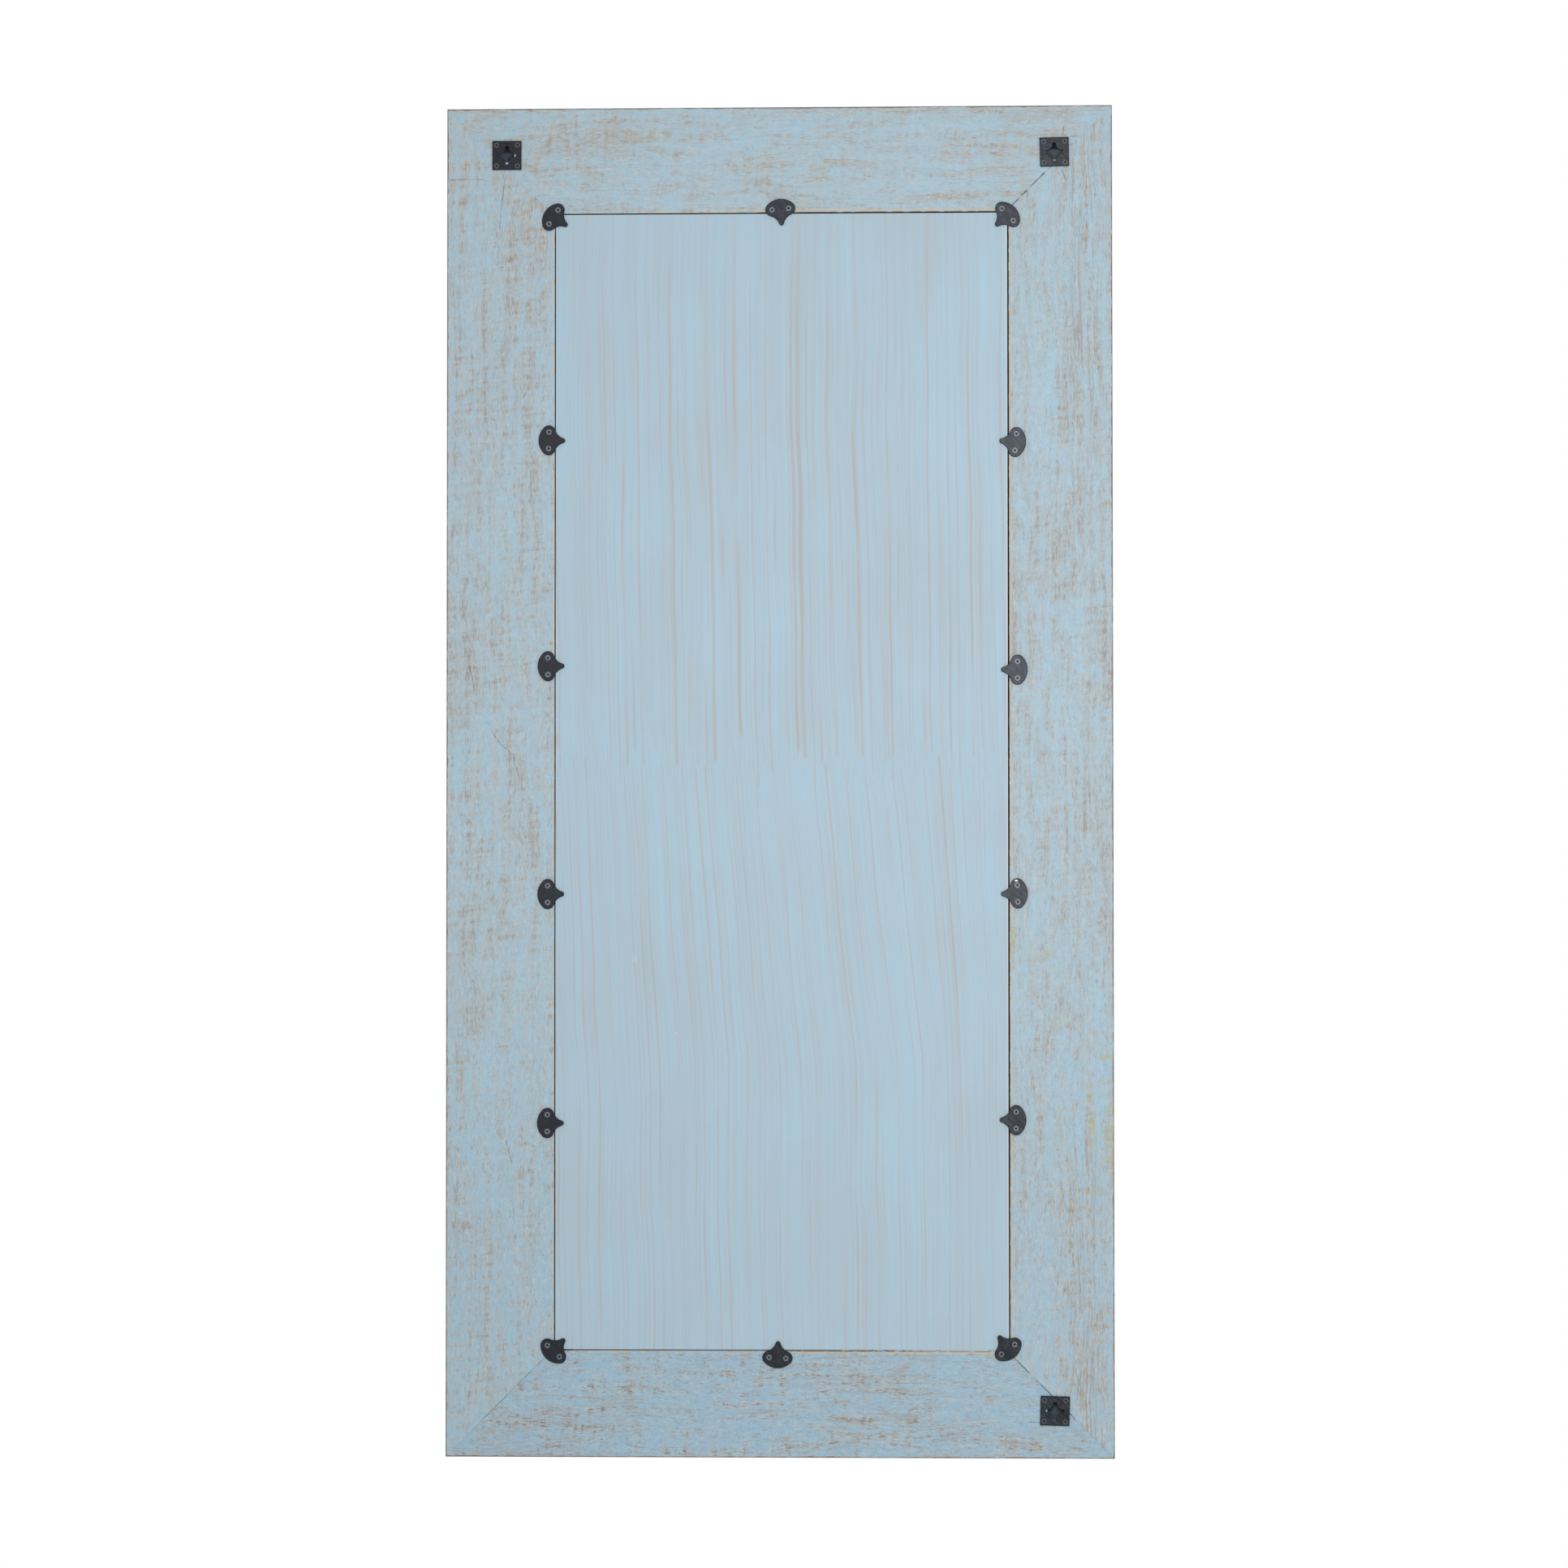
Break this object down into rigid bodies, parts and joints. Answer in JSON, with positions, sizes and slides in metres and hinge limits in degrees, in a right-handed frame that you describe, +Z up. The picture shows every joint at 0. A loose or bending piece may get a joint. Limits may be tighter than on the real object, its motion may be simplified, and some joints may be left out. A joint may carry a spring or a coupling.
{
  "type": "carved mirror",
  "caption": "Tall wall mirror in a mitred, chip-carved and painted wooden frame, with a flush back panel held by metal clips and keyhole plates for hanging it upright or on its side.",
  "frame": {"origin": "middle of the mirror's height and width, on the plane of the wall that the clips and hanger plates touch", "axes": "+Z up along the mirror's height, +Y out of the back towards the wall, so the glass faces -Y, and +X to the right as seen from the front"},
  "size_m": [0.904, 0.032, 1.83],
  "materials": {
    "painted_wood": "worn light blue paint over wood, rubbed through to tan along the edges",
    "painted_panel": "thin light blue paint, brushed on in long upright strokes",
    "dowel_wood": "bare beech",
    "mirror_glass": "silvered, polished",
    "backing_pad": "soft white felt",
    "black_metal": "matte black, with slightly lighter rubbed rims",
    "dark_steel": "blackened steel screw heads"
  },
  "bodies": {
    "root": {"top_rail": "painted_wood", "bottom_rail": "painted_wood", "left_stile": "painted_wood", "right_stile": "painted_wood", "top_left_dowels": "dowel_wood", "top_right_dowels": "dowel_wood", "bottom_left_dowels": "dowel_wood", "bottom_right_dowels": "dowel_wood", "mirror_glass": "mirror_glass", "backing_pad": "backing_pad", "back_panel": "painted_panel", "clip_top_left": "black_metal", "clip_top_middle": "black_metal", "clip_top_right": "black_metal", "clip_left_1": "black_metal", "clip_left_2": "black_metal", "clip_left_3": "black_metal", "clip_left_4": "black_metal", "clip_right_1": "black_metal", "clip_right_2": "black_metal", "clip_right_3": "black_metal", "clip_right_4": "black_metal", "clip_bottom_left": "black_metal", "clip_bottom_middle": "black_metal", "clip_bottom_right": "black_metal", "screws_top_left": "dark_steel", "screws_top_middle": "dark_steel", "screws_top_right": "dark_steel", "screws_left_1": "dark_steel", "screws_left_2": "dark_steel", "screws_left_3": "dark_steel", "screws_left_4": "dark_steel", "screws_right_1": "dark_steel", "screws_right_2": "dark_steel", "screws_right_3": "dark_steel", "screws_right_4": "dark_steel", "screws_bottom_left": "dark_steel", "screws_bottom_middle": "dark_steel", "screws_bottom_right": "dark_steel", "hanger_top_left": "black_metal", "hanger_top_right": "black_metal", "hanger_bottom_left": "black_metal", "hanger_screws_top_left": "dark_steel", "hanger_screws_top_right": "dark_steel", "hanger_screws_bottom_left": "dark_steel"}
  },
  "joints": []
}
